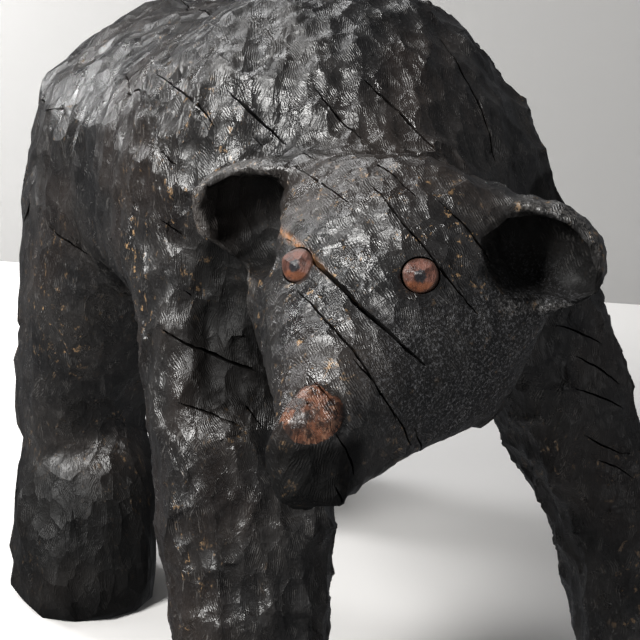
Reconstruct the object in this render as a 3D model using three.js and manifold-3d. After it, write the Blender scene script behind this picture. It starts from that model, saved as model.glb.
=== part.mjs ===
// A standing bear carved from one horizontal log, with two whittled plugs set in its face for eyes.
// Millimetres, +Z up. The bear looks along -Y, its left side is +X, and its paws stand on Z = 0.
import * as THREE from "three";
import { mergeVertices } from "three/addons/utils/BufferGeometryUtils.js";
import Module from "manifold-3d";

const wasm = await Module();
wasm.setup();

// Driving dimensions.
const BACK_HEIGHT = 690; // top of the shoulder hump above the floor
const BELLY_HEIGHT = 345; // underside of the barrel above the floor
const EYE_HEIGHT = 513; // point midway between the eyes
const EYE_MIDPOINT = new THREE.Vector3(-95, -448, EYE_HEIGHT);
const HEAD_TURN = THREE.MathUtils.degToRad(39); // head turned to the bear's own right
const HOCK_SLOPE = 0.35; // fall of the crease above each hind foot, towards the outside
const EYE_SPACING = 91;
const EYE_RADIUS = 12.5;
const EYE_DEPTH = 26; // how far a plug goes into the head
const EYE_PROUD = 6; // how far its whittled end stands out
const PLUG_GAP = 0.3; // clearance between a plug and its socket, on the radius and at the bottom

// Meshing.
const CELL = 7; // sampling step of the form
const MARGIN = 14; // empty border round the form
const TRIANGLES = 9200; // budget for the carved body

const WOOD = { color: 0x2b2a2a, roughness: 0.72, metalness: 0 };
const PLUG_WOOD = { color: 0x8a4f3c, roughness: 0.6, metalness: 0 };

// ---------------------------------------------------------------- blending of masses

const { abs, hypot, max, min, sign } = Math;

function smoothMin(a, b, blend) {
  const overlap = max(blend - abs(a - b), 0) / blend;
  return min(a, b) - (overlap * overlap * blend) / 4;
}

const smoothMax = (a, b, blend) => -smoothMin(-a, -b, blend);

// ---------------------------------------------------------------- frames: a point becomes (across, up, along)

const alongBody = (x, y, z) => [x, z, y];
const alongLeg = (x, y, z) => [x, -y, z];

// A hind leg's cuts slope down towards its outer side, from its centre line at the given distance across.
const alongHindLeg = (across) => (x, y, z) => [x, -y, z + HOCK_SLOPE * (x - across) * sign(across)];

const HEAD_FORWARD = new THREE.Vector3(-Math.sin(HEAD_TURN), -Math.cos(HEAD_TURN), 0);
const HEAD_LEFT = new THREE.Vector3(Math.cos(HEAD_TURN), -Math.sin(HEAD_TURN), 0);

// Head frame: across to its left, height above the floor, and forward of the point between the eyes.
function alongHead(x, y, z) {
  const dx = x - EYE_MIDPOINT.x;
  const dy = y - EYE_MIDPOINT.y;
  return [
    dx * HEAD_LEFT.x + dy * HEAD_LEFT.y,
    z,
    dx * HEAD_FORWARD.x + dy * HEAD_FORWARD.y,
  ];
}

const headPoint = (across, up, forward) =>
  new THREE.Vector3(EYE_MIDPOINT.x, EYE_MIDPOINT.y, 0)
    .addScaledVector(HEAD_LEFT, across)
    .addScaledVector(HEAD_FORWARD, forward)
    .setZ(up);

// ---------------------------------------------------------------- masses

// A tapering mass. Each station is [along, centre across, centre up, half-width, height above, depth below].
// The section is a superellipse, round at 2, with an exponent for each half; below its centre it also
// narrows evenly by the share given as taper.
function loft(frame, stations, { above = 2.2, below = 2.2, taper = 0, ends = 30 } = {}) {
  const size = stations[0].length - 1;
  const along = stations.map((station) => station[0]);
  const [first, last] = [along[0], along[along.length - 1]];
  const section = new THREE.CubicInterpolant(along, stations.flatMap((station) => station.slice(1)), size);
  return (x, y, z) => {
    const [across, up, s] = frame(x, y, z);
    const [cx, cy, width, high, low] = section.evaluate(min(max(s, first), last));
    const a = abs(across - cx);
    const b = up - cy;
    const squareness = b > 0 ? above : below;
    const height = b > 0 ? high : low;
    const half = b > 0 ? width : width * (1 - taper * min(-b / low, 1));
    const reach = ((a / half) ** squareness + (abs(b) / height) ** squareness) ** (1 / squareness);
    const side = reach > 0.05 ? hypot(a, b) * (1 - 1 / reach) : -min(width, high, low);
    return smoothMax(side, abs(s - (first + last) / 2) - (last - first) / 2, ends);
  };
}

function ellipsoid(frame, centre, radii) {
  return (x, y, z) => {
    const point = frame(x, y, z).map((value, i) => value - centre[i]);
    const unit = hypot(...point.map((value, i) => value / radii[i]));
    const slope = hypot(...point.map((value, i) => value / radii[i] ** 2));
    return slope > 1e-6 ? (unit * (unit - 1)) / slope : -min(...radii);
  };
}

function torso() {
  const middle = 500;
  const top = BACK_HEIGHT - middle;
  const belly = middle - BELLY_HEIGHT;
  return loft(
    alongBody,
    [
      [-284, -18, middle + 20, 84, 100, 90],
      [-240, -18, middle + 10, 136, 150, 130],
      [-180, -20, middle, 164, top, belly - 5],
      [-70, -10, middle - 10, 172, top - 16, belly - 5],
      [90, 0, middle - 15, 182, top - 32, belly - 18],
      [260, 2, middle - 20, 186, top - 24, belly - 12],
      [390, 2, middle - 20, 166, top - 44, belly - 10],
      [490, 2, middle - 25, 112, 100, 90],
    ],
    { above: 2.3, below: 2.4, ends: 60 },
  );
}

function neck() {
  return loft(
    alongBody,
    [
      [-400, -46, 470, 70, 78, 70],
      [-345, -26, 485, 84, 84, 92],
      [-290, -8, 505, 98, 110, 112],
      [-220, -4, 520, 122, 140, 130],
      [-150, -4, 520, 140, 150, 140],
    ],
    { ends: 50 },
  );
}

function head() {
  return loft(
    alongHead,
    [
      [-142, 0, 470, 90, 84, 86],
      [-108, 0, 464, 112, 108, 92],
      [-70, 0, 462, 111, 120, 88],
      [-20, 0, 450, 81, 99, 74],
      [15, 0, 436, 61, 72, 61],
      [50, 0, 422, 42, 52, 51],
      [78, 0, 413, 31, 38, 42],
      [102, 0, 405, 23, 24, 28],
    ],
    { above: 2.15, below: 5, taper: 0.29, ends: 12 },
  );
}

const nosePad = () => ellipsoid(alongHead, [-2, 424, 86], [24, 20, 20]);

// A cupped ear on a stout root: side is 1 for the bear's left and -1 for its right. Its tip droops.
function ear(side, height, droop) {
  const outwards = (x, y, z) => {
    const [across, up, forward] = alongHead(x, y, z);
    return [forward, up, side * across];
  };
  const shell = loft(
    outwards,
    [
      [40, -98, height, 32, 38, 52],
      [92, -93, height, 32, 39, 50],
      [126, -88, height - 0.4 * droop, 27, 36, 39],
      [158, -83, height - droop, 18, 22, 19],
    ],
    { above: 2.3, below: 2.3, ends: 12 },
  );
  const cup = ellipsoid(alongHead, [side * 96, height - 6, -54], [58, 39, 50]);
  return (x, y, z) => smoothMax(shell(x, y, z), -cup(x, y, z), 4);
}

const rightForeleg = [
  [0, -127, 322, 62, 84, 68],
  [45, -127, 318, 70, 90, 74],
  [100, -126, 294, 63, 72, 66],
  [220, -124, 262, 65, 66, 70],
  [340, -120, 230, 74, 72, 76],
  [460, -105, 182, 76, 74, 84],
  [600, -87, 164, 74, 74, 82],
];

const leftForeleg = [
  [0, 246, 376, 64, 84, 70],
  [45, 244, 370, 72, 90, 74],
  [100, 233, 340, 62, 72, 66],
  [215, 209, 296, 52, 64, 68],
  [300, 178, 268, 57, 70, 76],
  [430, 126, 232, 66, 82, 88],
  [590, 76, 200, 64, 80, 88],
];

const rightThigh = [
  [172, -164, -250, 60, 58, 76],
  [222, -158, -250, 75, 74, 94],
  [330, -140, -242, 86, 104, 108],
  [450, -114, -250, 98, 118, 118],
  [560, -88, -262, 92, 100, 104],
];

const rightHindFoot = [
  [0, -170, -222, 68, 90, 80],
  [50, -174, -224, 77, 98, 88],
  [110, -171, -232, 77, 90, 86],
  [196, -164, -250, 62, 58, 74],
];

const leftThigh = [
  [176, 112, -432, 58, 66, 70],
  [220, 112, -420, 70, 82, 84],
  [330, 110, -384, 82, 104, 100],
  [450, 100, -350, 90, 116, 106],
  [560, 84, -330, 86, 100, 100],
];

const leftHindFoot = [
  [0, 112, -440, 64, 88, 76],
  [50, 112, -442, 72, 92, 82],
  [110, 112, -444, 70, 82, 78],
  [196, 112, -440, 60, 62, 66],
];

// Toes along the front of a paw, from its centre on the floor, its half-width and its reach forwards.
const TOES = 5;

function toes([, across, forward, width, reach]) {
  return Array.from({ length: TOES }, (_, i) => {
    const swing = ((i - (TOES - 1) / 2) / (TOES - 1)) * 1.9;
    const centre = [
      across + 0.86 * width * Math.sin(swing),
      forward + 0.9 * reach * Math.cos(swing),
      20,
    ];
    return ellipsoid(alongLeg, centre, [17, 20, 27]);
  });
}

// The whole carved form as one signed distance, negative inside the wood.
function carving() {
  const rooted = ([foot, ...rest]) => [[-50, ...foot.slice(1)], ...rest];
  const foreleg = (stations) => loft(alongLeg, rooted(stations), { above: 2.6, below: 2.6 });
  const [rightHind, leftHind] = [alongHindLeg(rightThigh[0][1]), alongHindLeg(leftThigh[0][1])];
  const thigh = (frame, stations) => loft(frame, stations, { above: 2.9, below: 2.6, ends: 36 });
  const hindFoot = (frame, stations) => loft(frame, rooted(stations), { above: 2.6, below: 2.6, ends: 26 });
  const forelegs = [foreleg(rightForeleg), foreleg(leftForeleg)];
  const thighs = [thigh(rightHind, rightThigh), thigh(leftHind, leftThigh)];
  const hindFeet = [hindFoot(rightHind, rightHindFoot), hindFoot(leftHind, leftHindFoot)];
  const allToes = [rightForeleg, leftForeleg, rightHindFoot, leftHindFoot].flatMap(([foot]) => toes(foot));
  const [barrel, nape, skull, nose] = [torso(), neck(), head(), nosePad()];
  const tail = ellipsoid(alongBody, [2, 500, 492], [22, 40, 26]);
  const ears = [ear(-1, 532, 3), ear(1, 517, 10)];
  return (x, y, z) => {
    let form = barrel(x, y, z);
    for (const mass of [...forelegs, ...thighs]) form = smoothMin(form, mass(x, y, z), 44);
    form = smoothMin(form, nape(x, y, z), 50);
    for (const foot of hindFeet) form = smoothMin(form, foot(x, y, z), 10);
    form = smoothMin(form, tail(x, y, z), 20);
    let face = smoothMin(skull(x, y, z), nose(x, y, z), 8);
    for (const cup of ears) face = smoothMin(face, cup(x, y, z), 10);
    form = smoothMin(form, face, 16);
    if (z < 70) for (const toe of allToes) form = smoothMin(form, toe(x, y, z), 7);
    return form;
  };
}

// ---------------------------------------------------------------- meshing by surface nets

const BOUNDS = new THREE.Box3(new THREE.Vector3(-300, -590, -80), new THREE.Vector3(360, 560, 720));

// Where only two opposite corners of a grid square are inside, the nearer gap is filled: a closed surface
// can't pass through such a square twice.
function fillPinches(values, step) {
  const squares = [[step[0], step[1]], [step[1], step[2]], [step[2], step[0]]];
  const end = values.length - step[2] - step[1];
  for (let changed = true; changed; ) {
    changed = false;
    for (let at = 0; at < end; at++)
      for (const [u, v] of squares) {
        const square = [at, at + u, at + u + v, at + v];
        const [a, b, c, d] = square.map((corner) => values[corner] < 0);
        if (a !== c || b !== d || a === b) continue;
        const gaps = square.filter((corner) => values[corner] >= 0);
        const nearer = values[gaps[0]] < values[gaps[1]] ? gaps[0] : gaps[1];
        values[nearer] = -max(values[nearer], 1e-3);
        changed = true;
      }
  }
}

// One vertex in each cell that the surface crosses, and one quad round each grid edge that it crosses.
function surfaceNet(form, box, cell) {
  const low = box.min.clone().subScalar(MARGIN);
  const counts = box.max.clone().addScalar(MARGIN).sub(low).divideScalar(cell).ceil().toArray();
  const [nx, ny, nz] = counts.map((count) => count + 1);
  const at = (i, j, k) => i + nx * (j + ny * k);
  const values = new Float32Array(nx * ny * nz);
  for (let k = 0; k < nz; k++)
    for (let j = 0; j < ny; j++)
      for (let i = 0; i < nx; i++)
        values[at(i, j, k)] = form(low.x + i * cell, low.y + j * cell, low.z + k * cell);

  const step = [1, nx, nx * ny];
  fillPinches(values, step);

  const corners = Array.from({ length: 8 }, (_, n) => [n & 1, (n >> 1) & 1, n >> 2]);
  const edges = corners.flatMap((_, a) => [1, 2, 4].filter((bit) => !(a & bit)).map((bit) => [a, a | bit]));
  const vertexOf = new Map();
  const positions = [];
  for (let k = 0; k < nz - 1; k++)
    for (let j = 0; j < ny - 1; j++)
      for (let i = 0; i < nx - 1; i++) {
        const corner = corners.map(([a, b, c]) => values[at(i + a, j + b, k + c)]);
        const crossed = edges.filter(([a, b]) => corner[a] < 0 !== corner[b] < 0);
        if (!crossed.length) continue;
        const sum = [0, 0, 0];
        for (const [a, b] of crossed) {
          const t = corner[a] / (corner[a] - corner[b]);
          for (let n = 0; n < 3; n++) sum[n] += corners[a][n] + t * (corners[b][n] - corners[a][n]);
        }
        vertexOf.set(at(i, j, k), positions.length / 3);
        [i, j, k].forEach((index, n) =>
          positions.push(low.getComponent(n) + cell * (index + sum[n] / crossed.length)),
        );
      }

  const triangles = [];
  for (let k = 1; k < nz - 1; k++)
    for (let j = 1; j < ny - 1; j++)
      for (let i = 1; i < nx - 1; i++)
        for (let axis = 0; axis < 3; axis++) {
          const here = at(i, j, k);
          const inside = values[here] < 0;
          if (inside === values[here + step[axis]] < 0) continue;
          const u = step[(axis + 1) % 3];
          const v = step[(axis + 2) % 3];
          const quad = [here, here - u, here - u - v, here - v].map((cellIndex) => vertexOf.get(cellIndex));
          if (!inside) quad.reverse();
          triangles.push(quad[0], quad[1], quad[2], quad[0], quad[2], quad[3]);
        }
  return { positions, triangles };
}

// ---------------------------------------------------------------- simplification by quadric edge collapse

class Heap {
  items = [];
  push(item) {
    const { items } = this;
    let at = items.push(item) - 1;
    while (at > 0 && items[(at - 1) >> 1].cost > item.cost) {
      items[at] = items[(at - 1) >> 1];
      at = (at - 1) >> 1;
    }
    items[at] = item;
  }
  pop() {
    const { items } = this;
    const top = items[0];
    const item = items.pop();
    if (!items.length) return top;
    let at = 0;
    for (;;) {
      let child = 2 * at + 1;
      if (child >= items.length) break;
      if (child + 1 < items.length && items[child + 1].cost < items[child].cost) child++;
      if (items[child].cost >= item.cost) break;
      items[at] = items[child];
      at = child;
    }
    items[at] = item;
    return top;
  }
}

const FLIP_LIMIT = 0.25; // least cosine between a triangle's normals before and after a collapse
const SLIVER_LIMIT = 0.12; // least shape quality a collapse may leave

function triangleQuality([a, b, c]) {
  const doubleArea = b.clone().sub(a).cross(c.clone().sub(a)).length();
  const longest = max(a.distanceToSquared(b), b.distanceToSquared(c), c.distanceToSquared(a));
  return doubleArea / longest;
}

function simplify({ positions, triangles }, target) {
  const points = Array.from({ length: positions.length / 3 }, (_, i) =>
    new THREE.Vector3().fromArray(positions, 3 * i),
  );
  const faces = Array.from({ length: triangles.length / 3 }, (_, i) => triangles.slice(3 * i, 3 * i + 3));
  const around = points.map(() => new Set());
  const stamp = new Int32Array(points.length);
  const quadrics = points.map(() => new Float64Array(10));
  const normalOf = (corners) => {
    const [a, b, c] = corners;
    return b.clone().sub(a).cross(c.clone().sub(a));
  };

  faces.forEach((face, index) => {
    const normal = normalOf(face.map((v) => points[v]));
    const area = normal.length() / 2;
    normal.normalize();
    const plane = [normal.x, normal.y, normal.z, -normal.dot(points[face[0]])];
    for (const v of face) {
      around[v].add(index);
      for (let a = 0, n = 0; a < 4; a++)
        for (let b = a; b < 4; b++, n++) quadrics[v][n] += area * plane[a] * plane[b];
    }
  });

  const costAt = (q, { x, y, z }) =>
    q[0] * x * x + q[4] * y * y + q[7] * z * z + q[9] +
    2 * (q[1] * x * y + q[2] * x * z + q[5] * y * z + q[3] * x + q[6] * y + q[8] * z);

  const placement = (u, v) => {
    const q = quadrics[u].map((value, n) => value + quadrics[v][n]);
    const middle = points[u].clone().add(points[v]).multiplyScalar(0.5);
    const matrix = new THREE.Matrix3().set(q[0], q[1], q[2], q[1], q[4], q[5], q[2], q[5], q[7]);
    const choices = [middle, points[u].clone(), points[v].clone()];
    if (abs(matrix.determinant()) > 1e-3 * (q[0] + q[4] + q[7]) ** 3 * 1e-3) {
      const best = new THREE.Vector3(-q[3], -q[6], -q[8]).applyMatrix3(matrix.invert());
      if (best.distanceTo(middle) < 1.5 * points[u].distanceTo(points[v])) choices.push(best);
    }
    const costs = choices.map((choice) => costAt(q, choice));
    const least = costs.indexOf(min(...costs));
    return { point: choices[least], cost: costs[least] };
  };

  const neighbours = (v) => new Set([...around[v]].flatMap((face) => faces[face]).filter((w) => w !== v));
  const heap = new Heap();
  const offer = (u, v) => heap.push({ u, v, stamps: [stamp[u], stamp[v]], ...placement(u, v) });
  points.forEach((_, u) => neighbours(u).forEach((v) => u < v && offer(u, v)));

  let count = faces.length;
  while (count > target && heap.items.length) {
    const { u, v, stamps, point } = heap.pop();
    if (stamp[u] !== stamps[0] || stamp[v] !== stamps[1]) continue;
    const ring = neighbours(v);
    if ([...neighbours(u)].filter((w) => ring.has(w)).length !== 2) continue;
    const spoils = (face) => {
      const before = faces[face].map((w) => points[w]);
      const after = faces[face].map((w) => (w === u || w === v ? point : points[w]));
      const [a, b] = [normalOf(before), normalOf(after)];
      return a.dot(b) < FLIP_LIMIT * a.length() * b.length() || triangleQuality(after) < SLIVER_LIMIT;
    };
    const kept = [...around[u], ...around[v]].filter((face) => !(around[u].has(face) && around[v].has(face)));
    if (kept.some(spoils)) continue;

    points[u].copy(point);
    quadrics[u] = quadrics[u].map((value, n) => value + quadrics[v][n]);
    for (const face of around[v]) {
      if (faces[face].includes(u)) {
        for (const w of faces[face]) if (w !== v) around[w].delete(face);
        faces[face] = null;
        count--;
      } else {
        faces[face] = faces[face].map((w) => (w === v ? u : w));
        around[u].add(face);
      }
    }
    around[v].clear();
    stamp[v]++;
    stamp[u]++;
    for (const w of neighbours(u)) offer(u, w);
  }

  const live = faces.filter(Boolean);
  const renumber = new Map([...new Set(live.flat())].map((v, i) => [v, i]));
  return {
    positions: [...renumber.keys()].flatMap((v) => points[v].toArray()),
    triangles: live.flat().map((v) => renumber.get(v)),
  };
}

// ---------------------------------------------------------------- solids

function solidFromMesh({ positions, triangles }) {
  const vertProperties = new Float32Array(positions);
  const triVerts = new Uint32Array(triangles);
  return new wasm.Manifold(new wasm.Mesh({ numProp: 3, vertProperties, triVerts }));
}

function solidFromGeometry(geometry, matrix = new THREE.Matrix4()) {
  const bare = new THREE.BufferGeometry();
  bare.setAttribute("position", geometry.getAttribute("position").clone());
  if (geometry.index) bare.setIndex(geometry.index.clone());
  const merged = mergeVertices(bare.applyMatrix4(matrix), 1e-3);
  return solidFromMesh({ positions: merged.attributes.position.array, triangles: merged.index.array });
}

function geometryFromSolid(solid) {
  const { numProp, vertProperties, triVerts } = solid.getMesh();
  const geometry = new THREE.BufferGeometry();
  const positions = new Float32Array((vertProperties.length / numProp) * 3);
  for (let i = 0; i < positions.length / 3; i++)
    positions.set(vertProperties.subarray(i * numProp, i * numProp + 3), 3 * i);
  geometry.setAttribute("position", new THREE.BufferAttribute(positions, 3));
  geometry.setIndex(new THREE.BufferAttribute(triVerts, 1));
  geometry.computeVertexNormals();
  return geometry;
}

// A solid of revolution about +Y, from [radius, height] points that start and end on the axis.
function turned(profile, segments) {
  return new THREE.LatheGeometry(profile.map(([radius, height]) => new THREE.Vector2(radius, height)), segments);
}

// ---------------------------------------------------------------- pieces

const form = carving();

// Where a line from inside the wood along a direction first leaves it.
function surfaceAlong(start, direction) {
  const point = start.clone();
  const STEP = 0.5;
  while (form(point.x, point.y, point.z) < 0) point.addScaledVector(direction, STEP);
  return point;
}

// The plug's axis leans between the face's own forward direction and straight up, and a little outwards.
function eyeAxis(side) {
  return new THREE.Vector3()
    .addScaledVector(HEAD_FORWARD, 0.9)
    .addScaledVector(HEAD_LEFT, 0.12 * side)
    .setZ(0.42)
    .normalize();
}

function eyePlace(side) {
  const axis = eyeAxis(side);
  const inside = headPoint((side * EYE_SPACING) / 2, EYE_HEIGHT, 0).addScaledVector(axis, -40);
  const place = new THREE.Object3D();
  place.position.copy(surfaceAlong(inside, axis));
  place.quaternion.setFromUnitVectors(new THREE.Vector3(0, 1, 0), axis);
  place.updateMatrix();
  return place;
}

const EYE_SIDES = { right_eye_plug: -1, left_eye_plug: 1 };
const EYE_SEGMENTS = 20;

function eyePlug() {
  const r = EYE_RADIUS;
  const profile = [
    [0, -EYE_DEPTH],
    [r - 1, -EYE_DEPTH],
    [r, -EYE_DEPTH + 1],
    [r, 0.25 * EYE_PROUD],
    [0.86 * r, 0.55 * EYE_PROUD],
    [0.55 * r, 0.86 * EYE_PROUD],
    [0.2 * r, EYE_PROUD],
    [0, EYE_PROUD],
  ];
  return turned(profile, EYE_SEGMENTS);
}

function eyeSocket() {
  const r = EYE_RADIUS + PLUG_GAP;
  const depth = EYE_DEPTH + PLUG_GAP;
  return turned([[0, -depth], [r, -depth], [r, 3 * EYE_PROUD], [0, 3 * EYE_PROUD]], EYE_SEGMENTS);
}

function carvedBear() {
  let body = solidFromMesh(simplify(surfaceNet(form, BOUNDS, CELL), TRIANGLES));
  const floor = new THREE.BoxGeometry(2000, 2000, 200).translate(0, 0, -100);
  body = body.subtract(solidFromGeometry(floor));
  for (const side of Object.values(EYE_SIDES))
    body = body.subtract(solidFromGeometry(eyeSocket(), eyePlace(side).matrix));
  return geometryFromSolid(body);
}

// ---------------------------------------------------------------- scene graph

const bear = new THREE.Group();
const carved = new THREE.Mesh(carvedBear(), new THREE.MeshStandardMaterial(WOOD));
carved.name = "carved_bear";
bear.add(carved);

for (const [name, side] of Object.entries(EYE_SIDES)) {
  const plug = new THREE.Mesh(eyePlug(), new THREE.MeshStandardMaterial(PLUG_WOOD));
  const place = eyePlace(side);
  plug.name = name;
  plug.position.copy(place.position);
  plug.quaternion.copy(place.quaternion);
  bear.add(plug);
}

// The origin is on the floor, under the middle of the bear's box.
const centre = new THREE.Box3().setFromObject(bear).getCenter(new THREE.Vector3());
bear.position.set(-centre.x, -centre.y, 0);

export default bear;
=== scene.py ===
# A black-stained bear carved from one log, standing on a pale studio floor.
# Metres, +Z up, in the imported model's own frame: the bear looks along -Y and its left side is +X.
import itertools
import math

import bmesh
import bpy
import numpy as np
from mathutils import Matrix, Vector, noise
from mathutils.bvhtree import BVHTree


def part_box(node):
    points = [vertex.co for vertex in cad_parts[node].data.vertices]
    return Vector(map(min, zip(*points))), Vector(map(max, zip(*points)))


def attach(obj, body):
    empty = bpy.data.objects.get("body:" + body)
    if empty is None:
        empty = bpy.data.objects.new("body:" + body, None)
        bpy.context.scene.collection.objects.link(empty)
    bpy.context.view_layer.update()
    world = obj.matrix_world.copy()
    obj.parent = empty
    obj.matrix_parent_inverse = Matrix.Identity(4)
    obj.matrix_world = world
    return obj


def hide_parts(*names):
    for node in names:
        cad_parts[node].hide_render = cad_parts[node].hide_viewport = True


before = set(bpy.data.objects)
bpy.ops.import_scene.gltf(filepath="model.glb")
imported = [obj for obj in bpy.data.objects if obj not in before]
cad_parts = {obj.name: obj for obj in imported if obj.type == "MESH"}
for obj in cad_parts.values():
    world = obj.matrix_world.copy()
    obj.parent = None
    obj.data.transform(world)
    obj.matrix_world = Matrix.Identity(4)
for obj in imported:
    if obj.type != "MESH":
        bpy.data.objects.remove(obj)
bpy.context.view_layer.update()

MM = 0.001
UP = Vector((0, 0, 1))
COARSE_VOXEL = 0.0036
FINE_VOXEL = 0.0024
SKIN_TRIANGLES = 166000  # before the cracks, sockets and hollows are cut

# ---------------------------------------------------------------- where things are

HEAD_TURN = math.radians(39)  # the head turns to the bear's own right
HEAD_FORWARD = Vector((-math.sin(HEAD_TURN), -math.cos(HEAD_TURN), 0))
HEAD_LEFT = Vector((math.cos(HEAD_TURN), -math.sin(HEAD_TURN), 0))
PLUG_RADIUS = 12.5 * MM
PLUG_SPAN = (-26 * MM, 6 * MM)  # a plug along its axis, from its buried end to its crown


def eye_axis(side):
    """The way an eye plug points. side is 1 for the bear's left and -1 for its right."""
    return (0.9 * HEAD_FORWARD + 0.12 * side * HEAD_LEFT + 0.42 * UP).normalized()


def middle(node):
    low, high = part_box(node)
    return (low + high) / 2


EYES = {
    "right_eye_plug": (-1, middle("right_eye_plug") - eye_axis(-1) * sum(PLUG_SPAN) / 2),
    "left_eye_plug": (1, middle("left_eye_plug") - eye_axis(1) * sum(PLUG_SPAN) / 2),
}
BROW = sum((place for _, place in EYES.values()), Vector()) / 2


def in_head(points):
    """Points as (left, up, forward) of the point between the eyes, in metres."""
    offset = points - np.array(BROW)
    return np.stack([offset @ np.array(HEAD_LEFT), offset[:, 2], offset @ np.array(HEAD_FORWARD)], 1)


def from_head(left, up, forward):
    return BROW + HEAD_LEFT * left + UP * up + HEAD_FORWARD * forward


# The ears' hollows, in millimetres from the brow: middle (left, up), half-width, half-height and
# how much each leans to the bear's left towards its lower end.
EAR_CUPS = {-1: (-109, 13, 36, 35, 0.15), 1: (117, 2, 35, 30, 0.32)}
CUP_FLOOR = -105  # how far forward of the brow a hollow's floor is
CUP_SQUARENESS = 2.6
CUP_LEAN = 11  # how far a hollow's floor is set in towards the head
CUP_LEAN_HEIGHT = 30  # the height above its floor from which a hollow's sides run straight
NOSE = (1, -76, 96)  # left, up and forward of the brow, in millimetres
NOSE_SIZE = (20, 20, 28)

# ---------------------------------------------------------------- noise on arrays of points


def smooth_step(low, high, value):
    t = np.clip((value - low) / (high - low), 0, 1)
    return t * t * (3 - 2 * t)


def random_of(corner, seed):
    """Three repeatable values from 0 to 1 for each whole-numbered corner."""
    mixer = np.array([[127.1, 269.5, 113.5], [311.7, 183.3, 271.9], [74.7, 246.1, 124.6]])
    mixed = corner @ mixer + seed * 17.31
    return np.modf(np.abs(np.sin(mixed) * 43758.5453))[0]


def lumps(points, size, seed):
    """Smooth value noise from -1 to 1, with features of about the given size."""
    q = points / size
    base = np.floor(q)
    t = q - base
    t = t * t * (3 - 2 * t)
    total = np.zeros(len(points))
    for corner in itertools.product((0, 1), repeat=3):
        weight = np.prod(np.where(np.array(corner) > 0, t, 1 - t), axis=1)
        total += weight * random_of(base + corner, seed)[:, 0]
    return 2 * total - 1


def cuts(points, size, seed):
    """Cell pattern for tool cuts: how far each point is from the middle of its cut, in cuts, and three
    random values for that cut."""
    q = points / size
    base = np.floor(q)
    nearest = np.full(len(points), 9.0)
    found = np.zeros((len(points), 3))
    for corner in itertools.product((-1, 0, 1), repeat=3):
        cell = base + corner
        chance = random_of(cell, seed)
        distance = np.linalg.norm(q - cell - 0.15 - 0.7 * chance, axis=1)
        closer = distance < nearest
        nearest = np.where(closer, distance, nearest)
        found[closer] = chance[closer]
    return nearest, found


# ---------------------------------------------------------------- mesh helpers


def new_object(name, mesh):
    made = bpy.data.objects.new(name, mesh)
    bpy.context.scene.collection.objects.link(made)
    return made


def mesh_from_bmesh(name, bm):
    mesh = bpy.data.meshes.new(name)
    bm.to_mesh(mesh)
    bm.free()
    return mesh


def apply_modifier(obj, kind, **settings):
    modifier = obj.modifiers.new(kind, kind)
    for key, value in settings.items():
        setattr(modifier, key, value)
    evaluated = obj.evaluated_get(bpy.context.evaluated_depsgraph_get())
    mesh = bpy.data.meshes.new_from_object(evaluated)
    obj.modifiers.clear()
    old, obj.data = obj.data, mesh
    bpy.data.meshes.remove(old)


def coordinates(mesh):
    values = np.empty(len(mesh.vertices) * 3, np.float32)
    mesh.vertices.foreach_get("co", values)
    return values.reshape(-1, 3).astype(float)


def normals(mesh):
    values = np.empty(len(mesh.vertices) * 3, np.float32)
    mesh.vertex_normals.foreach_get("vector", values)
    return values.reshape(-1, 3).astype(float)


def move_vertices(mesh, points):
    mesh.vertices.foreach_set("co", points.astype(np.float32).ravel())
    mesh.update()


def plug_matrix(side, place):
    turn = UP.rotation_difference(eye_axis(side)).to_matrix().to_4x4()
    return Matrix.Translation(place) @ turn


# ---------------------------------------------------------------- the carved form


def base_form():
    """The CAD body with its facets rounded off and its eye sockets filled, as one fine even mesh."""
    bear = new_object("carved_bear_skin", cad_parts["carved_bear"].data.copy())
    bm = bmesh.new()
    bm.from_mesh(bear.data)
    bmesh.ops.remove_doubles(bm, verts=bm.verts, dist=1e-5)
    for side, place in EYES.values():
        matrix = plug_matrix(side, place) @ Matrix.Translation((0, 0, -0.0152))
        bmesh.ops.create_cone(
            bm, cap_ends=True, segments=32, radius1=0.0145, radius2=0.0145, depth=0.028, matrix=matrix
        )
    bm.to_mesh(bear.data)
    bm.free()
    bear.data.materials.clear()
    apply_modifier(bear, "REMESH", mode="VOXEL", voxel_size=COARSE_VOXEL)
    apply_modifier(bear, "SMOOTH", factor=0.5, iterations=6)
    apply_modifier(bear, "REMESH", mode="VOXEL", voxel_size=FINE_VOXEL)
    apply_modifier(bear, "SMOOTH", factor=0.5, iterations=2)
    return bear


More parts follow.
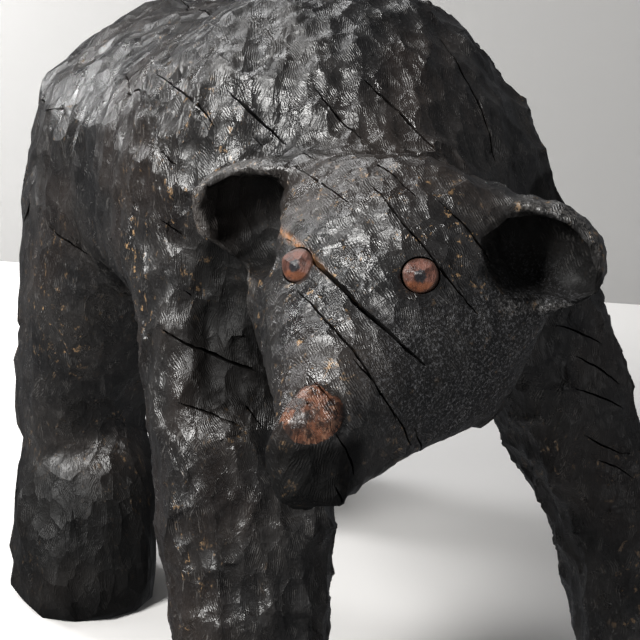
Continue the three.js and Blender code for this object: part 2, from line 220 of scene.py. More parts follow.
def carve(bear):
    """Moves the skin in and out along its normals: broad planes, gouge scallops and the rough places."""
    mesh = bear.data
    points = coordinates(mesh)
    out = normals(mesh)
    p = points / MM
    left, up, forward = (in_head(points) / MM).T
    head = region_head(points)
    wobble = np.stack([lumps(p, 45, seed) for seed in (1, 2, 3)], 1)

    # Broad planes with low ridges between them, long down the legs and flanks.
    near, chance = cuts(p + 9 * wobble, np.array([52, 56, 90]), 4)
    broad = 9.5 * (near**2 - 0.25) + 3.6 * (chance[:, 1] - 0.5)

    # Gouge scallops, upright on the body.
    near, chance = cuts(p + 5 * wobble, np.array([25, 25, 42]), 5)
    scallop = (4.5 + 8.0 * chance[:, 1]) * (near**2 - 0.25) + 2.0 * (chance[:, 2] - 0.5)
    near, chance = cuts(p + 2 * wobble, np.array([13, 13, 24]), 12)
    scallop += (0.8 + 2.2 * chance[:, 1]) * (near**2 - 0.25)

    # Upright flutes on the rump, the flanks and the hind feet.
    behind = smooth_step(60, 150, p[:, 1])
    flute = 4.6 * np.abs(np.sin(p[:, 0] / 21 + p[:, 1] / 19 + 0.9 * wobble[:, 0])) - 2.6
    flute *= smooth_step(330, 470, p[:, 2] + 40 * wobble[:, 1])
    toe_flute = 2.6 * np.abs(np.sin(p[:, 0] / 6.3 + p[:, 1] / 11 + 1.4 * wobble[:, 0])) - 1.4
    toe_flute *= smooth_step(170, 130, p[:, 2]) * smooth_step(10, 30, p[:, 2])

    # Shallow paring on the face, the left cheek left nearly flat from the saw.
    slope = np.stack([left, up + forward, forward - up], 1)
    near, chance = cuts(slope + 3 * wobble, np.array([15, 34, 20]), 6)
    paring = (1.2 + 2.6 * chance[:, 1]) * (near**2 - 0.25) + 0.7 * (chance[:, 2] - 0.5)
    sawn = smooth_step(10, 40, left) * smooth_step(-10, -45, up + 0.25 * forward)
    paring = paring * (1 - 0.75 * sawn) + 0.35 * sawn * lumps(p, 7, 7)

    fibres = 0.32 * lumps(p, np.array([5, 14, 5]), 8) + 0.2 * lumps(p, np.array([3, 7, 3]), 9)
    body = broad + scallop + behind * (flute + toe_flute)
    move = (1 - head) * body + head * (paring + 0.2 * broad) + fibres

    reach = nose_reach(points) + 0.08 * lumps(p, 9, 40)
    swell = 2.2 * smooth_step(1.0, 0.75, reach) - 2.4 * np.exp(-(((reach - 1.12) / 0.12) ** 2))
    move += head * swell * smooth_step(40, 60, forward)

    move -= 7 * region_recess(points)

    ear = region_ear(points)
    rough = 1.3 * lumps(p, 8, 10) + 1.1 * lumps(p, 4.5, 11)
    move = move * (1 - 0.8 * ear) + ear * rough

    calm = np.ones(len(p))
    for _, place in EYES.values():
        distance = np.linalg.norm(points - np.array(place), axis=1) / MM
        calm *= smooth_step(14, 30, distance)
    move *= 0.25 + 0.75 * calm

    sole = smooth_step(0.5, 14, p[:, 2])
    points += out * (move * sole * MM)[:, None]
    points[:, 2] = np.where(p[:, 2] < 0.6, 0, np.maximum(points[:, 2], 0))
    move_vertices(mesh, points)


def nose_reach(points):
    """1 at the edge of the painted pad of the nose and less on it."""
    place = in_head(points) / MM - np.array(NOSE)
    return np.linalg.norm(place / np.array(NOSE_SIZE), axis=1)


def region_head(points):
    left, up, forward = (in_head(points) / MM).T
    reach = np.sqrt((left / 165) ** 2 + ((up + 35) / 125) ** 2 + ((forward + 15) / 132) ** 2)
    return 1 - smooth_step(0.93, 1.03, reach)


def cup_reach(points, side):
    """1 on the walls of an ear's hollow and less inside it, measured across the hollow."""
    left, up, forward = (in_head(points) / MM).T
    across, middle_up, wide, high, slant = EAR_CUPS[side]
    lean = side * CUP_LEAN * np.clip((forward - CUP_FLOOR) / CUP_LEAN_HEIGHT - 1, -1, 0)
    middle = across + lean + slant * (middle_up - up)
    sideways = np.abs((left - middle) / wide) ** CUP_SQUARENESS
    upwards = np.abs((up - middle_up) / high) ** CUP_SQUARENESS
    return (sideways + upwards) ** (1 / CUP_SQUARENESS)


def region_recess(points):
    """1 in the deep cut between the right cheek and the shoulder."""
    left, up, forward = (in_head(points) / MM).T
    near = smooth_step(66, 36, np.hypot(left + 128, forward + 115))
    return near * smooth_step(0, -24, up) * smooth_step(-170, -140, up) * (1 - region_head(points))


def region_ear(points):
    """1 in the ears' hollows and on their rims."""
    left, _, forward = (in_head(points) / MM).T
    found = np.zeros(len(points))
    for side in EAR_CUPS:
        near = 1 - smooth_step(1.25, 1.6, cup_reach(points, side))
        found = np.maximum(found, near * smooth_step(84, 98, side * left) * smooth_step(-125, -110, forward))
    return found


def thin_out(bear, triangles):
    """Fewer triangles on the broad body, most of them kept on the head and the near side."""
    mesh = bear.data
    points = coordinates(mesh)
    keep = np.maximum(region_head(points), 0.25 * smooth_step(0.2, -0.3, points[:, 1]))
    group = bear.vertex_groups.new(name="keep")
    for level in range(1, 9):
        chosen = np.nonzero(np.round(keep * 8) == level)[0]
        if len(chosen):
            group.add(chosen.tolist(), level / 8, "REPLACE")
    mesh.calc_loop_triangles()
    apply_modifier(
        bear,
        "DECIMATE",
        ratio=triangles / len(mesh.loop_triangles),
        vertex_group="keep",
        vertex_group_factor=2.0,
        invert_vertex_group=True,
    )
    bear.vertex_groups.clear()


# ---------------------------------------------------------------- drying cracks

# Checks in end grain run through the log's length, so each is a line across the log, falling towards
# the bear's left. A family of them is (x, z) of the first one's upper end and the step (x, z) to the
# next, in millimetres, how many there are, and their usual length, slope in degrees and greatest width.
HEAD_CHECKS = [  # measured from the brow
    ((-40, 25), (0, 0), 1, 110, 50, 3.4),
    ((20, 65), (45, -20), 2, 110, 58, 1.9),
    ((-20, 75), (40, 0), 2, 45, 50, 1.4),
    ((-45, -15), (20, -30), 4, 55, 58, 1.6),
    ((-60, -60), (8, -30), 3, 35, 62, 1.4),
]
BODY_CHECKS = [
    ((-200, 620), (45, 0), 4, 50, 52, 2.0),
    ((-215, 570), (4, -60), 3, 25, 42, 1.8),
    ((100, 420), (8, -30), 5, 45, 30, 1.5),
    ((20, 650), (0, 0), 1, 95, 78, 2.0),
]
SHOULDER_CHECKS = [((-220, 425), (0, 0), 1, 95, 24, 3.0), ((-215, 370), (0, 0), 1, 50, 20, 1.8)]
HAUNCH_CHECKS = [((-240, 430), (0, 0), 1, 40, 35, 1.8)]
RUMP_CHECKS = [((-60, 610), (0, 0), 1, 150, 66, 3.0), ((-120, 560), (60, 10), 3, 110, 62, 1.8)]
CHECK_BEND = 8  # degrees by which a check turns along its length, up or down
CHECK_SEED = 50
CHECK_SPACING = 2.4  # between a check's points
BROW_ACROSS = (BROW.x / MM, BROW.z / MM)
# Checks in the flanks and the back run along the log: angle round the log in degrees from the bear's
# left, the stretch from y to y, and the greatest width.
FLANK_CRACKS = [
    (76, -0.16, 0.24, 3.2),
    (118, 0.02, 0.38, 2.2),
    (152, -0.12, 0.08, 2.0),
    (171, 0.17, 0.36, 2.2),
    (38, -0.05, 0.30, 2.6),
    (8, 0.06, 0.26, 2.0),
    (-12, 0.28, 0.40, 1.6),
]
LOG_AXIS_HEIGHT = 0.50


def check_lines(families, origin):
    """Each check of the families as evenly spaced points (x, z) in millimetres, and its width."""
    lines = []
    for first, step, count, length, slope, width in families:
        for number in range(count):
            chance = random_of(np.array([[first[0] + number, first[1], length]]), CHECK_SEED)[0] - 0.5
            spread = min(count - 1, 1)
            reach = length * (1 + 0.7 * spread * chance[0])
            along = np.linspace(0, 1, int(reach / CHECK_SPACING) + 8)
            bend = CHECK_BEND * (2 * along - 1) * np.sign(chance[2])
            fall = np.radians(slope + 8 * spread * chance[1] + bend)
            moves = np.stack([np.cos(fall), -np.sin(fall)], 1) * reach / len(along)
            start = np.array(origin) + np.array(first) + number * np.array(step) + 14 * spread * chance[1:]
            lines.append((start + np.cumsum(moves, axis=0), width * (1 + 0.4 * spread * chance[0])))
    return lines


def blade(bm, starts, inwards, tree, width, depth, seed):
    """Adds one thin wedge to bm along where rays from the starts meet the wood; a crack is cut with it."""
    hits = [tree.ray_cast(Vector(start), Vector(way))[0] for start, way in zip(starts, inwards)]
    kept = [i for i, hit in enumerate(hits) if hit is not None]
    if len(kept) < 6:
        return
    surface = np.array([hits[i] for i in kept])
    inwards = np.array([inwards[i] for i in kept])
    level = np.einsum("ij,ij->i", surface, inwards)
    padded = np.pad(level, 3, mode="edge")
    smooth = np.mean([padded[i : i + len(level)] for i in range(7)], axis=0)
    surface += inwards * (smooth - level)[:, None]
    ways = np.gradient(surface, axis=0)
    across = np.cross(ways, inwards)
    across /= np.linalg.norm(across, axis=1)[:, None]
    along = np.linspace(0, 1, len(kept))
    jitter = lumps(surface / MM, 5, seed) * 0.55 + lumps(surface / MM, 17, seed + 1) * 1.3
    surface += across * (jitter * MM)[:, None]
    ripple = 1 + 0.3 * lumps(surface / MM, 9, seed + 2)
    half = 0.5 * width * ripple * np.sin(np.pi * np.clip(0.03 + 0.94 * along, 0, 1)) ** 0.45
    half = np.maximum(half, 0.06 * MM)
    sink = depth * (0.25 + 0.75 * np.sin(np.pi * along))
    lift = 7 * MM
    rings = []
    for i in range(len(kept)):
        rise = half[i] * (1 + lift / max(sink[i], 2 * MM))
        top = surface[i] - inwards[i] * lift
        rings.append(
            [
                bm.verts.new(top + across[i] * rise),
                bm.verts.new(top - across[i] * rise),
                bm.verts.new(surface[i] + inwards[i] * sink[i]),
            ]
        )
    bm.faces.new(rings[0])
    bm.faces.new(rings[-1][::-1])
    for a, b in zip(rings, rings[1:]):
        for k in range(3):
            bm.faces.new([a[k], b[k], b[(k + 1) % 3], a[(k + 1) % 3]])


def crack_blades(bear):
    """All the crack wedges, in sets whose wedges don't cross."""
    bm = bmesh.new()
    bm.from_mesh(bear.data)
    tree = BVHTree.FromBMesh(bm)
    bm.free()
    sets = []
    plans = []
    for families, origin, start_y, way in (
        (HEAD_CHECKS, BROW_ACROSS, -1.0, 1.0),
        (BODY_CHECKS, (0, 0), -1.0, 1.0),
        (SHOULDER_CHECKS, (0, 0), -0.345, 1.0),
        (HAUNCH_CHECKS, (0, 0), 0.0, 1.0),
        (RUMP_CHECKS, (0, 0), 1.0, -1.0),
    ):
        for line, width in check_lines(families, origin):
            across = line * MM
            starts = np.stack([across[:, 0], np.full(len(across), start_y), across[:, 1]], 1)
            plans.append((starts, np.tile([0.0, way, 0.0], (len(across), 1)), width, 9 * width + 3))
    for angle, first, last, width in FLANK_CRACKS:
        y = np.arange(first, last, 0.0035)
        turn = np.radians(angle + 4 * lumps(np.stack([y / MM] * 3, 1), 90, angle))
        ray = np.stack([-np.cos(turn), np.zeros(len(y)), -np.sin(turn)], 1)
        starts = np.stack([np.zeros(len(y)), y, np.full(len(y), LOG_AXIS_HEIGHT)], 1) - ray * 0.6
        plans.append((starts, ray, width, 8 * width + 4))
    for share in range(3):
        bm = bmesh.new()
        for number, (starts, inwards, width, depth) in enumerate(plans):
            if number % 3 == share:
                blade(bm, starts, inwards, tree, width * MM, depth * MM, 20 + number)
        bmesh.ops.recalc_face_normals(bm, faces=bm.faces)
        sets.append(new_object(f"crack_wedges_{share}", mesh_from_bmesh("crack_wedges", bm)))
    return sets


def eye_sockets():
    bm = bmesh.new()
    for side, place in EYES.values():
        matrix = plug_matrix(side, place) @ Matrix.Translation((0, 0, -0.004))
        bmesh.ops.create_cone(
            bm, cap_ends=True, segments=40, radius1=0.0130, radius2=0.0139, depth=0.046, matrix=matrix
        )
    return new_object("eye_sockets", mesh_from_bmesh("eye_sockets", bm))


def ear_hollows():
    """The ears' hollows, with gouged sides and floors set in towards the head, as one cutter."""
    bm = bmesh.new()
    profile = [(0, 0.30), (1.5, 0.60), (5, 0.82), (12, 0.95), (25, 1.0), (42, 1.03), (60, 1.06), (88, 1.1)]
    spokes = 90
    for side, (across, up, wide, high, slant) in EAR_CUPS.items():
        rings = []
        for rise, size in profile:
            lean = side * CUP_LEAN * min(rise / CUP_LEAN_HEIGHT - 1, 0)
            ring = []
            for spoke in range(spokes):
                angle = 2 * math.pi * spoke / spokes
                c, s = math.cos(angle), math.sin(angle)
                reach = (abs(c) ** CUP_SQUARENESS + abs(s) ** CUP_SQUARENESS) ** (-1 / CUP_SQUARENESS)
                gouged = 1 - 0.05 * abs(math.sin(5.5 * angle + side))
                gouged += 0.05 * noise.noise((3 * c, 3 * s, rise / 14))
                reach *= size * gouged
                drop = -high * reach * s
                left = across + lean + wide * reach * c + slant * drop
                place = from_head(left * MM, (up - drop) * MM, (CUP_FLOOR + rise) * MM)
                ring.append(bm.verts.new(place))
            rings.append(ring)
        for a, b in zip(rings, rings[1:]):
            for k in range(spokes):
                after = (k + 1) % spokes
                bm.faces.new([a[k], a[after], b[after], b[k]])
        bm.faces.new(rings[0][::-1])
        bm.faces.new(rings[-1])
    bmesh.ops.recalc_face_normals(bm, faces=bm.faces)
    return new_object("ear_hollows", mesh_from_bmesh("ear_hollows", bm))


def cut_away(bear, cutters):
    for cutter in cutters:
        apply_modifier(bear, "BOOLEAN", operation="DIFFERENCE", solver="MANIFOLD", object=cutter)
    for cutter in cutters:
        bpy.data.objects.remove(cutter)


# ---------------------------------------------------------------- masks held on the skin's vertices


def add_mask(mesh, name, values):
    layer = mesh.attributes.new(name, "FLOAT", "POINT")
    layer.data.foreach_set("value", np.clip(values, 0, 1).astype(np.float32))


def add_masks(bear):
    mesh = bear.data
    points = coordinates(mesh)
    p = points / MM
    left, up, forward = (in_head(points) / MM).T
    head = region_head(points)
    add_mask(mesh, "head", head)

    reach = nose_reach(points) + 0.2 * lumps(p, 9, 40)
    add_mask(mesh, "paint", smooth_step(1.25, 0.75, reach))

    # Painted shade deep in the ears' hollows; a separate mask for their rims.
    cup = np.zeros(len(p))
    rim = np.zeros(len(p))
    for side in EAR_CUPS:
        reach = cup_reach(points, side)
        cup = np.maximum(cup, smooth_step(1.12, 1.04, reach) * smooth_step(-36, -50, forward))
        outside = smooth_step(86, 96, side * left) * smooth_step(-104, -92, forward)
        rim = np.maximum(rim, smooth_step(1.06, 1.12, reach) * smooth_step(1.42, 1.26, reach) * outside)
    add_mask(mesh, "hollow", cup)
    add_mask(mesh, "rim", rim)

    sawn = head * smooth_step(-6, 34, left + 0.3 * up) * smooth_step(-4, -40, up + 0.2 * forward)
    add_mask(mesh, "sawn", sawn)

    # Black on the muzzle's front below the nose, the hind feet darker towards the floor, and painted shade
    # in the cut between the right cheek and the shoulder.
    dark_and_painted_shade = smooth_step(66, 88, forward) * smooth_step(-86, -98, up)
    dark_and_painted_shade = np.maximum(dark_and_painted_shade, 0.8 * smooth_step(185, 130, p[:, 2]) * smooth_step(60, 120, p[:, 1]))
    dark_and_painted_shade = np.maximum(dark_and_painted_shade, region_recess(points))
    add_mask(mesh, "dark_and_painted_shade", dark_and_painted_shade)

    worn = 0.5 + 0.5 * lumps(p, 60, 41)
    brow = np.exp(-((np.linalg.norm(np.stack([left + 20, up - 18], 1), axis=1) / 55) ** 2)) * head
    add_mask(mesh, "worn", smooth_step(0.35, 1.0, worn + 0.6 * brow))

    widest = check_lines(HEAD_CHECKS[:1], BROW_ACROSS)[0][0]
    upper = widest[: len(widest) // 3]
    gaps = np.linalg.norm(p[:, None, [0, 2]] - upper[None], axis=2)
    along = gaps.argmin(axis=1) / len(upper)
    raw = np.exp(-((gaps.min(axis=1) / 2.0) ** 2)) * smooth_step(1.0, 0.5, along)
    add_mask(mesh, "raw", raw * head * smooth_step(-44, -36, forward))


# ---------------------------------------------------------------- materials


class Nodes:
    """Short calls for building one material's node tree."""

    def __init__(self, name):
        self.material = bpy.data.materials.new(name)
        self.material.use_nodes = True
        self.tree = self.material.node_tree
        self.shader = self.tree.nodes["Principled BSDF"]

    def put(self, socket, value):
        if isinstance(value, bpy.types.NodeSocket):
            self.tree.links.new(value, socket)
        elif value is not None:
            socket.default_value = value

    def node(self, kind, inputs=(), **settings):
        made = self.tree.nodes.new("ShaderNode" + kind)
        for key, value in settings.items():
            setattr(made, key, value)
        for socket, value in dict(inputs).items():
            self.put(made.inputs[socket], value)
        return made

    def math(self, operation, a, b=None, clamp=False):
        return self.node("Math", {0: a, 1: b}, operation=operation, use_clamp=clamp).outputs[0]

    def vector(self, operation, a, b=None):
        return self.node("VectorMath", {0: a, 1: b}, operation=operation).outputs[0]

    def remap(self, value, low, high, to_low=0.0, to_high=1.0):
        inputs = {0: value, 1: low, 2: high, 3: to_low, 4: to_high}
        return self.node("MapRange", inputs, interpolation_type="SMOOTHSTEP").outputs[0]

    def noise(self, vector, scale, detail=3.0, roughness=0.6):
        inputs = {"Vector": vector, "Scale": scale, "Detail": detail, "Roughness": roughness}
        return self.node("TexNoise", inputs).outputs["Fac"]

    def mix(self, share, a, b):
        made = self.node("Mix", data_type="RGBA")
        self.put(made.inputs[0], share)
        for socket, value in ((made.inputs[6], a), (made.inputs[7], b)):
            self.put(socket, (*value, 1) if isinstance(value, tuple) else value)
        return made.outputs[2]

    def blend(self, share, a, b):
        return self.node("Mix", {0: share, 2: a, 3: b}).outputs[0]

    def attribute(self, name):
        return self.node("Attribute", attribute_name=name).outputs["Fac"]

    def bump(self, height, distance, strength, normal=None):
        made = self.node("Bump", {"Height": height, "Distance": distance, "Strength": strength})
        if normal is not None:
            self.put(made.inputs["Normal"], normal)
        return made.outputs["Normal"]


def tool_marks(n, flow):
    """Each cut has its own direction, and its blade's nicks leave fine lines along it."""
    stretched = n.vector("MULTIPLY", flow, (62.0, 62.0, 38.0))
    cell = n.node("TexVoronoi", {"Vector": stretched, "Scale": 1.0, "Randomness": 0.9})
    chance = n.vector("SUBTRACT", cell.outputs["Color"], (0.5, 0.5, 0.5))
    tilt = n.vector("MULTIPLY", chance, (1.0, 1.0, 0.0))
    cut = n.node("VectorRotate", {"Vector": flow, "Rotation": tilt}, rotation_type="EULER_XYZ").outputs[0]
    wave = {"Vector": cut, "Scale": 190.0, "Distortion": 7.0, "Detail": 3.0, "Detail Scale": 0.6}
    comb = n.node("TexWave", wave, wave_profile="SIN").outputs["Fac"]
    lines = n.math("MULTIPLY", comb, n.remap(n.noise(cut, 70.0), 0.42, 0.62, 0.1, 1.0))
    coarse = n.noise(n.vector("MULTIPLY", cut, (300.0, 300.0, 9.0)), 1.0, 2.0, 0.6)
    cup = n.math("MULTIPLY", cell.outputs["Distance"], cell.outputs["Distance"])
    return lines, coarse, cup, n.noise(cut, 95.0, 4.0, 0.7)


def stained_wood():
    n = Nodes("stained_wood")
    place = n.node("TexCoord").outputs["Object"]
    head = n.attribute("head")
    sawn = n.attribute("sawn")
    hollow = n.attribute("hollow")
    rim = n.attribute("rim")

    # Tool strokes run down the body, and down the slope of the face.
    turn = {"Vector": place, "Axis": tuple(HEAD_LEFT), "Angle": math.radians(-42)}
    slope = n.node("VectorRotate", turn)
    body_marks = tool_marks(n, place)
    face_marks = tool_marks(n, slope.outputs[0])
    lines, coarse, cup, chips = (n.blend(head, a, b) for a, b in zip(body_marks, face_marks))
    grain = n.noise(n.vector("MULTIPLY", place, (420.0, 60.0, 420.0)), 1.0, 3.0, 0.7)
    nap = n.noise(place, 480.0, 3.0, 0.75)
    patch = n.noise(place, 16.0, 3.0, 0.6)
    cloud = n.noise(place, 7.0, 2.0, 0.5)

    # Colour: black stain, browner where it is thin, grey on fine ridges as wear and as painted glints, tan
    # where the wood shows.
    base = n.mix(n.remap(patch, 0.35, 0.68), (0.0055, 0.0052, 0.0052), (0.016, 0.0145, 0.0135))
    base = n.mix(n.math("MULTIPLY", n.remap(cloud, 0.50, 0.68), 0.22), base, (0.030, 0.018, 0.012))
    # Grey on the fine ridges: partly worn-in dust, partly painted glints.
    ridge_wear_and_glint = n.math("MULTIPLY", n.remap(lines, 0.45, 0.95), n.remap(coarse, 0.42, 0.58))
    base = n.mix(n.math("MULTIPLY", ridge_wear_and_glint, 0.36), base, (0.130, 0.124, 0.117))
    # Grey fuzz, strongest on the sawn cheek: partly raised fibres, partly painted sheen.
    fuzz_and_sheen_amount = n.math("ADD", n.math("MULTIPLY", sawn, 0.8), 0.08)
    fuzz_and_sheen = n.math("MULTIPLY", n.remap(nap, 0.50, 0.64), fuzz_and_sheen_amount)
    base = n.mix(fuzz_and_sheen, base, (0.120, 0.120, 0.126))
    flecks = n.math("MULTIPLY", n.remap(chips, 0.58, 0.65), n.remap(coarse, 0.46, 0.56))
    bared = n.math("ADD", n.attribute("worn"), n.math("MULTIPLY", rim, 0.6), True)
    flecks = n.math("MULTIPLY", flecks, bared)
    base = n.mix(n.math("MULTIPLY", flecks, 0.85), base, (0.330, 0.205, 0.100))
    base = n.mix(n.math("MULTIPLY", rim, n.remap(nap, 0.42, 0.6, 0.0, 0.35)), base, (0.170, 0.160, 0.150))
    # Painted shade deep in the ears' hollows.
    base = n.mix(n.math("MULTIPLY", hollow, 0.5), base, (0.007, 0.007, 0.007))
    # Black below the nose, the hind feet darker towards the floor, and painted shade in the cut behind the
    # right cheek.
    base = n.mix(n.math("MULTIPLY", n.attribute("dark_and_painted_shade"), 0.85), base, (0.004, 0.004, 0.004))

    # Red-brown paint worn off the nose, and bare wood on the lip of the widest crack.
    thick = n.remap(n.noise(place, 130.0, 3.0, 0.6), 0.35, 0.65)
    paint = n.mix(thick, (0.020, 0.010, 0.007), (0.110, 0.043, 0.023))
    # Lighter streaks in the nose paint are painted highlights.
    paint = n.mix(n.math("MULTIPLY", n.remap(coarse, 0.50, 0.62), 0.5), paint, (0.200, 0.105, 0.065))
    soiled = n.math("MULTIPLY", n.remap(n.noise(place, 90.0, 3.0, 0.6), 0.50, 0.58), 0.85)
    paint = n.mix(soiled, paint, (0.010, 0.007, 0.006))
    ragged = n.math("ADD", n.attribute("paint"), n.math("MULTIPLY", n.noise(place, 170.0, 3.0, 0.7), 0.7))
    base = n.mix(n.remap(ragged, 0.84, 0.92), base, paint)
    bare = n.math("MULTIPLY", n.attribute("raw"), n.remap(n.noise(place, 260.0), 0.35, 0.55), True)
    base = n.mix(bare, base, (0.260, 0.118, 0.045))
    n.put(n.shader.inputs["Base Color"], base)

    rough = n.remap(n.noise(place, 45.0), 0.3, 0.7, 0.22, 0.42)
    rough = n.math("ADD", rough, n.math("MULTIPLY", sawn, 0.16))
    # Rougher and less reflective in the ears' hollows and the darkened places, the same masks as the painted
    # shade.
    shade_and_dark_places = n.math("MAXIMUM", hollow, n.attribute("dark_and_painted_shade"))
    rough = n.math("ADD", rough, n.math("MULTIPLY", shade_and_dark_places, 0.2), True)
    n.put(n.shader.inputs["Roughness"], rough)
    n.put(n.shader.inputs["Specular IOR Level"], n.remap(shade_and_dark_places, 0.0, 1.0, 0.5, 0.12))

    normal = n.bump(cup, 0.0042, 0.8)
    normal = n.bump(coarse, 0.0009, 0.8, normal)
    normal = n.bump(lines, 0.00028, 0.9, normal)
    normal = n.bump(grain, 0.0006, 0.5, normal)
    normal = n.bump(nap, 0.0016, n.remap(sawn, 0.0, 1.0, 0.2, 1.0), normal)
    n.put(n.shader.inputs["Normal"], normal)
    return n.material


def painted_plug():
    """Whittled end grain with worn paint. The plug's own Z is its axis."""
    n = Nodes("painted_plug")
    place = n.node("TexCoord").outputs["Object"]
    paring = n.noise(n.vector("MULTIPLY", place, (900.0, 260.0, 900.0)), 1.0, 2.0, 0.6)
    patch = n.noise(place, 170.0, 3.0, 0.6)
    base = n.mix(n.remap(patch, 0.36, 0.62), (0.035, 0.013, 0.009), (0.115, 0.046, 0.032))
    base = n.mix(n.math("MULTIPLY", n.remap(paring, 0.56, 0.68), 0.7), base, (0.060, 0.030, 0.024))
    parts = n.node("SeparateXYZ", {0: place})
    low = n.math("MULTIPLY", parts.outputs["Y"], -1.0)
    facet = n.math("MULTIPLY", n.remap(low, 0.0042, 0.0066), n.remap(patch, 0.30, 0.50))
    base = n.mix(facet, base, (0.120, 0.038, 0.014))
    squares = [n.math("POWER", parts.outputs[axis], 2.0) for axis in ("X", "Y")]
    ring = n.math("SQRT", n.math("ADD", *squares))
    base = n.mix(n.remap(ring, 0.0102, 0.0122), base, (0.045, 0.022, 0.015))
    spot = n.vector("SUBTRACT", place, (0.0008, -0.0018, 0.0062))
    spot = n.vector("MULTIPLY", spot, (1.0, 0.9, 0.5))
    reach = n.node("VectorMath", {0: spot}, operation="LENGTH").outputs["Value"]
    ragged = n.math("ADD", reach, n.math("MULTIPLY", n.math("SUBTRACT", n.noise(place, 420.0), 0.5), 0.0052))
    base = n.mix(n.remap(ragged, 0.0032, 0.0050, 1.0, 0.0), base, (0.012, 0.011, 0.013))
    n.put(n.shader.inputs["Base Color"], base)
    n.put(n.shader.inputs["Roughness"], n.remap(patch, 0.3, 0.7, 0.36, 0.58))
    normal = n.bump(paring, 0.0007, 0.7)
    normal = n.bump(n.noise(place, 900.0), 0.0003, 0.5, normal)
    n.put(n.shader.inputs["Normal"], normal)
    return n.material


# ---------------------------------------------------------------- the eyes

PLUG_FACETS = 7


def plug(name, side, place, material):
    """A dowel whose end is whittled to a low dome of flat parings."""
    bm = bmesh.new()
    spokes, rings = 72, 22
    low, top = PLUG_SPAN
    turns = [(k + 0.35 * math.sin(5.1 * k + side)) * 2 * math.pi / PLUG_FACETS for k in range(PLUG_FACETS)]
    parings = [
        (math.cos(t), math.sin(t), 0.60 + 0.12 * math.sin(3.7 * k + side), 8.1 + math.sin(2.3 * k))
        for k, t in enumerate(turns)
    ]

    def height(x, y):
        dome = 6.7 - 0.021 * (x * x + y * y)
        flats = [reach - slope * (x * c + y * s) for c, s, slope, reach in parings]
        return min(dome, *flats) + 0.14 * noise.noise(Vector((x * 0.5, y * 0.5, side)))

    rows = []
    for ring in range(rings + 1):
        radius = PLUG_RADIUS / MM * (ring / rings)
        row = []
        for spoke in range(spokes if ring else 1):
            a = 2 * math.pi * spoke / spokes
            uneven = noise.noise(Vector((math.cos(a) * 2, math.sin(a) * 2, side * 3)))
            edge = 1 - 0.018 * (1 + uneven) * ring / rings
            x, y = radius * edge * math.cos(a), radius * edge * math.sin(a)
            z = height(x, y) - (0.5 if ring == rings else 0)
            row.append(bm.verts.new(Vector((x, y, z)) * MM))
        rows.append(row)
    skirt = [bm.verts.new(Vector((v.co.x, v.co.y, low))) for v in rows[-1]]
    rows.append(skirt)
    for spoke in range(spokes):
        after = (spoke + 1) % spokes
        bm.faces.new([rows[0][0], rows[1][spoke], rows[1][after]])
        for a, b in zip(rows[1:], rows[2:]):
            bm.faces.new([a[spoke], b[spoke], b[after], a[after]])
    bm.faces.new(skirt[::-1])
    bmesh.ops.recalc_face_normals(bm, faces=bm.faces)
    obj = new_object(name, mesh_from_bmesh(name, bm))
    obj.data.shade_smooth()
    obj.data.set_sharp_from_angle(angle=math.radians(28))
    forward = eye_axis(side)
    across = UP.cross(forward).normalized()
    turn = Matrix((across, forward.cross(across), forward)).transposed().to_4x4()
    obj.matrix_world = Matrix.Translation(place) @ turn
    obj.data.materials.append(material)
    return obj


# ---------------------------------------------------------------- the bear


def carved_bear():
    bear = base_form()
    carve(bear)
    thin_out(bear, SKIN_TRIANGLES)
    cut_away(bear, [*crack_blades(bear), eye_sockets(), ear_hollows()])
    add_masks(bear)
    bear.data.shade_smooth()
    bear.data.set_sharp_from_angle(angle=math.radians(58))
    bear.data.materials.clear()
    bear.data.materials.append(stained_wood())
    bear.data.polygons.foreach_set("material_index", np.zeros(len(bear.data.polygons), np.int32))
    return bear


bear = carved_bear()
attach(bear, "root")
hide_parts("carved_bear")

plug_paint = painted_plug()
for node, (side, place) in EYES.items():
    eye = plug(node + "_whittled", side, place, plug_paint)
    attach(eye, "root")
    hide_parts(node)

# ---------------------------------------------------------------- the studio


def stage_plane(name, corners, colour):
    mesh = bpy.data.meshes.new(name)
    mesh.from_pydata(corners, [], [(0, 1, 2, 3)])
    obj = new_object(name, mesh)
    n = Nodes(name)
    n.shader.inputs["Base Color"].default_value = (*colour, 1)
    n.shader.inputs["Roughness"].default_value = 0.85
    obj.data.materials.append(n.material)
    obj.visible_glossy = False
    return obj


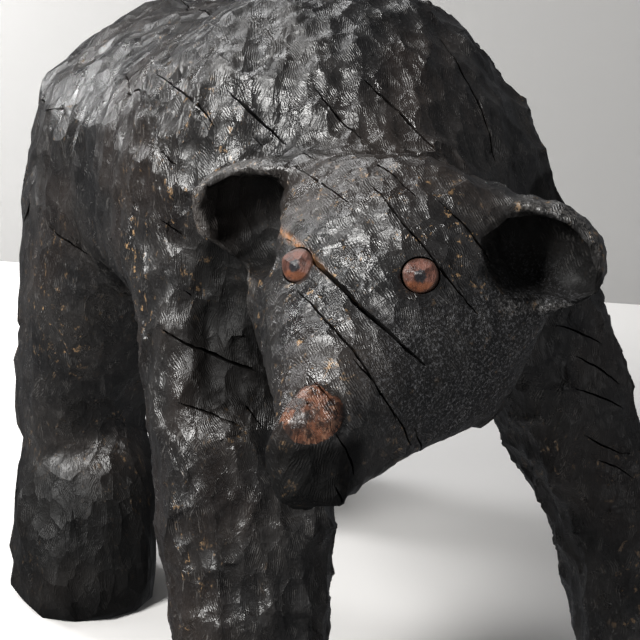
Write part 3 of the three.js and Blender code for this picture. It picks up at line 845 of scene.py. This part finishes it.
WALL_LEFT = Vector((-3.30, 4.20, 0))
WALL_RIGHT = Vector((3.60, -0.64, 0))
stage_plane("floor", [(-9, -9, 0), (9, -9, 0), (9, 9, 0), (-9, 9, 0)], (0.64, 0.63, 0.62))
stage_plane("wall", [WALL_LEFT, WALL_RIGHT, WALL_RIGHT + 5 * UP, WALL_LEFT + 5 * UP], (0.265, 0.262, 0.258))


def area_light(name, place, target, size, power, colour=(1, 1, 1)):
    data = bpy.data.lights.new(name, "AREA")
    data.shape = "RECTANGLE"
    data.size, data.size_y = size
    data.energy = power
    data.color = colour
    obj = new_object(name, data)
    obj.location = place
    obj.rotation_mode = "QUATERNION"
    obj.rotation_quaternion = (Vector(target) - Vector(place)).to_track_quat("-Z", "Y")
    return obj


low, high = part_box("carved_bear")
heart = (low + high) / 2
area_light("key", heart + Vector((-2.2, -1.0, 1.9)), heart, (0.8, 1.1), 172, (1.0, 0.99, 0.97))
area_light("top", heart + Vector((-0.6, 1.2, 2.2)), heart, (1.5, 0.6), 34)
area_light("front", heart + Vector((0.9, -3.0, 1.3)), heart, (1.6, 1.2), 6)
area_light("backdrop", Vector((-1.1, 1.6, 1.2)), Vector((-0.3, 2.1, 0.1)), (0.6, 0.6), 46)

world = bpy.data.worlds.new("studio")
bpy.context.scene.world = world
world.use_nodes = True
world.node_tree.nodes["Background"].inputs["Color"].default_value = (0.93, 0.95, 1.0, 1)
world.node_tree.nodes["Background"].inputs["Strength"].default_value = 0.14
bpy.context.scene.view_settings.view_transform = "Standard"

# The camera looks down 15 degrees, from 19 degrees round to the bear's right, at the turned face.
AZIMUTH, ELEVATION = math.radians(-19), math.radians(15)
LEVEL = math.cos(ELEVATION)
back = Vector((math.sin(AZIMUTH) * LEVEL, -math.cos(AZIMUTH) * LEVEL, math.sin(ELEVATION)))
right = Vector((math.cos(AZIMUTH), math.sin(AZIMUTH), 0))
above = back.cross(right)
camera_data = bpy.data.cameras.new("camera")
camera_data.lens = 90
camera_data.sensor_width = 36
camera = new_object("camera", camera_data)
camera.location = BROW + 1.110 * back - 0.0264 * right - 0.0347 * above
camera.rotation_mode = "QUATERNION"
camera.rotation_quaternion = (-back).to_track_quat("-Z", "Y")
bpy.context.scene.camera = camera
